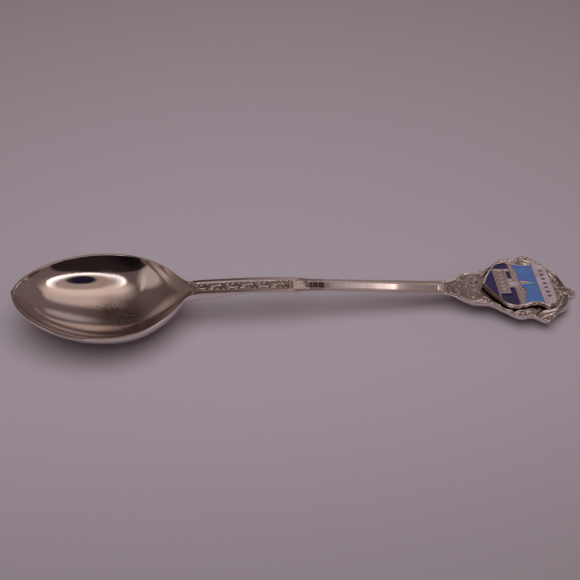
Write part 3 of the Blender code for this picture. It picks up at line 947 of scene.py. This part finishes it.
def enamel(name, colour, deep, cloud_scale, gloss):
    """Fired glass: colour that drifts a little, under a clear hard surface."""
    material, tree, shader = new_material(name)
    drift = ramp(tree, noise(tree, position(tree), cloud_scale, 4.0, 0.6), 0.35, 0.65)
    ripple = noise(tree, position(tree), 700.0, 2.0)
    feed(tree, shader, {
        "Base Color": mix(tree, drift, colour, deep),
        "Roughness": gloss,
        "Coat Weight": 0.6,
        "Coat Roughness": 0.05,
        "Normal": bump(tree, ripple, 1.5e-5, 0.6),
    })
    return material


def solder_metal():
    material, tree, shader = new_material("solder_metal")
    lumps = noise(tree, position(tree), 900.0, 4.0)
    feed(tree, shader, {
        "Base Color": mix(tree, ramp(tree, lumps, 0.35, 0.7), (0.5, 0.47, 0.45), (0.24, 0.21, 0.19)),
        "Metallic": 1.0,
        "Roughness": ramp(tree, lumps, 0.3, 0.7, 0.3, 0.5),
        "Normal": bump(tree, lumps, 3e-5, 0.6),
    })
    return material


# ---- floor, light and camera
CAMERA_TARGET = (-2.63, 1.38, 4.96)
CAMERA_DISTANCE = 178.2
CAMERA_AZIMUTH = math.radians(-4.5)
CAMERA_ELEVATION = math.radians(46.0)
CAMERA_LENS = 54.62
KEY_PLACE = (-15, -32, 220)
KEY_SIZE = 250
KEY_WATTS = 0.375
KEY_COLOUR = (1.0, 0.97, 0.98)
FLOOR_SIZE = 3.0
FLOOR_BELOW = 0.00002
FLOOR_COLOUR = (0.375, 0.338, 0.388)
# Painted shade on the floor: its colour is darkened by this share towards the camera, between these y in
# metres
FLOOR_FRONT_PAINTED_SHADE = 0.74
FLOOR_FRONT_Y = (-0.075, -0.008)


def make_floor():
    material, tree, shader = new_material("floor_paper")
    fibres = noise(tree, position(tree), 3500.0, 3.0)
    shade = ramp(tree, fibres, 0.3, 0.7)
    lighter = tuple(1.03 * part for part in FLOOR_COLOUR)
    darker = tuple(0.97 * part for part in FLOOR_COLOUR)
    # Painted shade: the paper is darker towards the camera, as if less light fell there
    painted_front_shade = tuple(FLOOR_FRONT_PAINTED_SHADE * part for part in FLOOR_COLOUR)
    toward_front = add_node(tree, "ShaderNodeSeparateXYZ", Vector=position(tree)).outputs["Y"]
    paper_with_painted_shade = mix(tree, ramp(tree, toward_front, *FLOOR_FRONT_Y), painted_front_shade, mix(tree, shade, darker, lighter))
    feed(tree, shader, {"Base Color": paper_with_painted_shade, "Roughness": 0.85, "Specular IOR Level": 0.2})
    half = FLOOR_SIZE / 2
    mesh = bpy.data.meshes.new("floor")
    corners = [(-half, -half, 0), (half, -half, 0), (half, half, 0), (-half, half, 0)]
    mesh.from_pydata(corners, [], [(0, 1, 2, 3)])
    mesh.materials.append(material)
    floor = add_object("floor", mesh)
    floor.location = (0, 0, -FLOOR_BELOW)


# What a low view sees past the floor
BACKDROP = (0.17, 0.145, 0.155)

# What the metal reflects: patches of light and dark round the room, placed on a map of it whose middle
# is straight overhead, with east and north (+X and +Y) in degrees from there. Each is (east, north, half
# length, half width, turn, softness of the edge, squareness, colour). Later ones cover earlier ones.
ROOM_WARM = (0.115, 0.08, 0.078)
ROOM_COOL = (0.15, 0.1, 0.101)
OVAL, BOX = 2.0, 6.0
ROOM_PATCHES = [
    (-10, 32, 30, 18, 80, 0.8, OVAL, (0.075, 0.048, 0.04)),
    (9, 66, 15, 6, 12, 0.5, OVAL, (0.4, 0.3, 0.28)),
    (-54, 36, 24, 9, 45, 0.7, OVAL, (0.3, 0.22, 0.195)),
    (22, 45, 15, 8, -10, 0.7, OVAL, (0.38, 0.3, 0.3)),
    (-20, 82, 75, 8, 0, 0.5, OVAL, (0.62, 0.5, 0.5)),
    (32, 0, 32, 13, -16, 0.5, OVAL, (0.52, 0.395, 0.36)),
    (24, -18, 38, 22, 0, 0.5, OVAL, (0.56, 0.43, 0.38)),
    (-60, -34, 27, 17, 20, 0.35, OVAL, (0.44, 0.34, 0.31)),
    (-42, -27, 15, 4, 55, 0.4, OVAL, (0.55, 0.43, 0.39)),
    (-8, -75, 78, 25, 0, 0.06, BOX, (0.022, 0.014, 0.015)),
    (-42, -78, 32, 22, 0, 0.4, OVAL, (0.007, 0.004, 0.005)),
    (-95, -10, 60, 22, 90, 0.25, OVAL, ROOM_WARM),
    (22.5, -32, 37, 17, 6, 0.06, OVAL, (1.7, 1.55, 1.5)),
    (20, -19, 34, 12, 6, 0.45, OVAL, (0.74, 0.56, 0.49)),
    (21, -32, 29, 13.5, 8, 0.22, OVAL, (0.36, 0.265, 0.23)),
    (24, -36.5, 14, 7.5, 3, 0.2, OVAL, (0.012, 0.009, 0.02)),
]


# The glowing cards, in millimetres: a line along the middle of them, the way they face, and the light at
# places along each
CARD_LINE = ((2.0, 16.5, 31.2), (46.0, 16.5, 27.0))
CARD_FACING = (0.33, 0.55, 0.76)
CARD_TINT = (1.0, 0.81, 0.8, 1.0)
BLACK = (0.0, 0.0, 0.0, 1.0)
CARD_LIGHTS = [
    (7.0, 0.25), (14.0, 0.42), (22.0, 0.7), (26.0, 1.3), (29.0, 2.0), (29.6, 0.6), (33.5, 0.32),
    (40.0, 0.24),
]
WIDE_CARD_LIGHTS = [(6.0, 0.21), (38.0, 0.21), (44.0, 0.14)]
CARD_HALF = 2.6
WIDE_CARD_HALF = 8.0
WIDE_CARD_BEHIND = 2.0
SCREEN_X = 5.5
SCREEN_Y = (2.5, 24.0)
SCREEN_Z = (12.0, 39.0)


def room_map(tree):
    """East and north of the seen direction on the room's map, in degrees."""
    direction = add_node(tree, "ShaderNodeTexCoord").outputs["Generated"]
    parts = add_node(tree, "ShaderNodeSeparateXYZ", Vector=direction)
    level = times(tree, parts.outputs["X"], parts.outputs["X"])
    level = math_node(tree, "MULTIPLY_ADD", parts.outputs["Y"], parts.outputs["Y"], level)
    level = math_node(tree, "MAXIMUM", math_node(tree, "SQRT", level), 1e-5)
    from_overhead = math_node(tree, "ARCTAN2", level, parts.outputs["Z"])
    scale = math_node(tree, "DIVIDE", times(tree, from_overhead, math.degrees(1)), level)
    return (times(tree, parts.outputs["X"], scale),
            times(tree, parts.outputs["Y"], scale))


def room_patch(tree, east, north, patch):
    """1 inside a patch of the room, 0 outside it."""
    at_east, at_north, half_length, half_breadth, turn, softness, power, _ = patch
    east = math_node(tree, "SUBTRACT", east, at_east)
    north = math_node(tree, "SUBTRACT", north, at_north)
    c, s = math.cos(math.radians(turn)), math.sin(math.radians(turn))
    reach = []
    for size, toward_east, toward_north in ((half_length, c, s), (half_breadth, -s, c)):
        part = times(tree, east, toward_east / size)
        part = math_node(tree, "MULTIPLY_ADD", north, toward_north / size, part)
        reach.append(math_node(tree, "POWER", math_node(tree, "ABSOLUTE", part), power))
    distance = math_node(tree, "POWER", math_node(tree, "ADD", *reach), 1 / power)
    return ramp(tree, distance, 1 - softness, 1 + softness, 1.0, 0.0)


def make_world():
    world = bpy.data.worlds.new("studio")
    bpy.context.scene.world = world
    world.use_nodes = True
    tree = world.node_tree
    east, north = room_map(tree)
    colour = mix(tree, ramp(tree, east, -20.0, 45.0), ROOM_WARM, ROOM_COOL)
    for patch in ROOM_PATCHES:
        colour = mix(tree, room_patch(tree, east, north, patch), colour, patch[-1])
    seen_directly = add_node(tree, "ShaderNodeLightPath").outputs["Is Camera Ray"]
    tree.links.new(mix(tree, seen_directly, colour, BACKDROP), tree.nodes["Background"].inputs["Color"])


def make_card(name, half, lights, behind):
    """A small glowing card over the stem, seen only in the metal. Its light varies along it."""
    material, tree, shader = new_material(name + "_glow")
    along = add_node(tree, "ShaderNodeSeparateXYZ", Vector=position(tree)).outputs["X"]
    strength = lights[0][1]
    for (low, _), (high, level) in zip(lights, lights[1:]):
        share = ramp(tree, along, low * MM, high * MM)
        kept = times(tree, strength, math_node(tree, "SUBTRACT", 1.0, share))
        strength = math_node(tree, "MULTIPLY_ADD", share, level, kept)
    feed(tree, shader, {"Base Color": BLACK, "Emission Color": CARD_TINT, "Emission Strength": strength})
    toward = np.array(CARD_FACING)
    (low, _), (high, _) = lights[0], lights[-1]
    start, end = (card_line(place_x) + behind * toward for place_x in (low, high))
    across = np.cross(end - start, toward)
    across *= half / np.linalg.norm(across)
    add_card(name, [start - across, end - across, end + across, start + across], material)


def card_line(x):
    """The point at x on the line that the cards are centred on."""
    start, end = (np.array(point) for point in CARD_LINE)
    return start + (x - start[0]) / (end[0] - start[0]) * (end - start)


def add_card(name, corners, material):
    mesh = bpy.data.meshes.new(name)
    mesh.from_pydata([tuple(corner) for corner in np.array(corners) * MM], [], [(0, 1, 2, 3)])
    mesh.materials.append(material)
    card = add_object(name, mesh)
    card.visible_camera = card.visible_diffuse = card.visible_shadow = False


def make_screen():
    """A plate as dim as the room, which hides the channel's card from the bowl."""
    material, tree, shader = new_material("screen_glow")
    feed(tree, shader, {"Base Color": BLACK, "Emission Color": (*ROOM_COOL, 1), "Emission Strength": 1.0})
    (low_y, high_y), (low_z, high_z) = SCREEN_Y, SCREEN_Z
    corners = [(SCREEN_X, low_y, low_z), (SCREEN_X, high_y, low_z), (SCREEN_X, high_y, high_z),
               (SCREEN_X, low_y, high_z)]
    add_card("screen", corners, material)


def make_key_light():
    """A large soft light that faces the spoon's middle and isn't seen in the metal."""
    light = bpy.data.lights.new("key", "AREA")
    light.shape = "DISK"
    light.size = KEY_SIZE * MM
    light.energy = KEY_WATTS
    light.color = KEY_COLOUR
    lamp = add_object("key", light)
    lamp.location = [part * MM for part in KEY_PLACE]
    back = lamp.location.normalized()
    lamp.rotation_euler = back.to_track_quat("Z", "Y").to_euler()
    lamp.visible_glossy = False


def make_camera():
    data = bpy.data.cameras.new("camera")
    data.lens = CAMERA_LENS
    data.sensor_width = 36.0
    data.clip_start = 0.001
    camera = add_object("camera", data)
    a, e = CAMERA_AZIMUTH, CAMERA_ELEVATION
    back = np.array([math.sin(a) * math.cos(e), -math.cos(a) * math.cos(e), math.sin(e)])
    camera.location = (np.array(CAMERA_TARGET) + CAMERA_DISTANCE * back) * MM
    camera.rotation_euler = (math.pi / 2 - e, 0, a)
    bpy.context.scene.camera = camera


def main():
    metal = plated_metal("plated_metal")
    make_spoon(metal)
    make_pan(metal)
    make_enamels({
        "navy": enamel("enamel_navy", (0.003, 0.002, 0.035), (0.006, 0.003, 0.07), 300.0, 0.12),
        "sky": enamel("enamel_sky", (0.055, 0.105, 0.36), (0.045, 0.16, 0.34), 350.0, 0.15),
        "white": enamel("enamel_white", (0.42, 0.35, 0.4), (0.32, 0.26, 0.3), 500.0, 0.2),
    })
    make_solder(solder_metal())
    make_floor()
    make_world()
    make_key_light()
    make_card("channel_card", CARD_HALF, CARD_LIGHTS, 0.0)
    make_card("margin_card", WIDE_CARD_HALF, WIDE_CARD_LIGHTS, WIDE_CARD_BEHIND)
    make_screen()
    make_camera()
    scene = bpy.context.scene
    scene.view_settings.view_transform = "Standard"


main()
